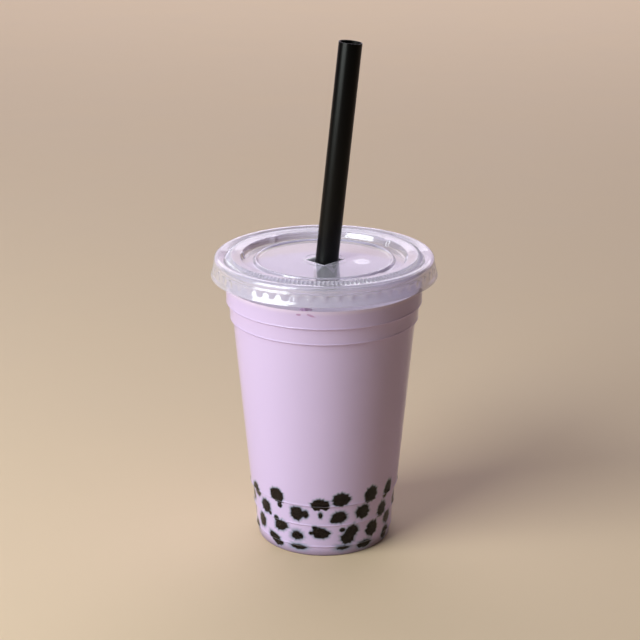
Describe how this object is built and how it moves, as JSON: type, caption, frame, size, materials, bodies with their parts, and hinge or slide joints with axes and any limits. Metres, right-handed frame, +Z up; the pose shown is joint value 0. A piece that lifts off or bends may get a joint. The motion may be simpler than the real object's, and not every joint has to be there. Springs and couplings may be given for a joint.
{
  "type": "bubble tea",
  "caption": "Taro milk tea with tapioca pearls in a clear tapered cup with a flat lid and a wide straw.",
  "frame": {"origin": "centre of the cup's foot, on the surface it stands on", "axes": "+Z up, -Y towards the front; the straw leans towards +X"},
  "size_m": [0.1024, 0.1024, 0.2313],
  "materials": {
    "cup_plastic": "clear thin plastic, glossy",
    "lid_plastic": "clear thin plastic, glossy",
    "straw_plastic": "black plastic, satin",
    "taro_milk": "opaque lilac milk tea",
    "tapioca": "dark cooked tapioca, glossy"
  },
  "bodies": {
    "root": {"cup": "cup_plastic", "lid": "lid_plastic", "straw": "straw_plastic", "milk_tea": "taro_milk", "tapioca_pearls": "tapioca"}
  },
  "joints": []
}
